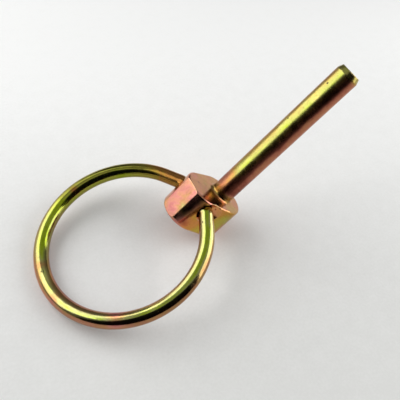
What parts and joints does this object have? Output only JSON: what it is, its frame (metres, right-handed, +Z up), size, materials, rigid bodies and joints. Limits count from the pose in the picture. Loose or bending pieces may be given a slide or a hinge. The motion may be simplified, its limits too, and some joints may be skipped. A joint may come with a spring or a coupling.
{
  "type": "lynch pin",
  "caption": "Steel lynch pin: a round shank with a forged eye head and a sprung wire ring that swings in the head and closes over the shank.",
  "frame": {"origin": "on the floor, under the middle of the pin as it lies at rest", "axes": "+X from the ring towards the shank's tip seen from above, +Y across the head along the cross bore, +Z up"},
  "size_m": [0.0768, 0.0444, 0.0473],
  "materials": {
    "pin_steel": "yellow zinc plated, smooth and glossy",
    "ring_steel": "yellow zinc plated spring wire, smooth and glossy"
  },
  "bodies": {
    "pin": {"pin": "pin_steel"},
    "ring": {"snap_ring": "ring_steel"}
  },
  "joints": [
    {"name": "ring_swing", "type": "hinge", "parent": "pin", "child": "ring", "pos_m": [0.00229, 0.00264, 0.01308], "axis": [-0.1254, 0.9914, -0.0362], "range_deg": [-198.5, 146]}
  ]
}
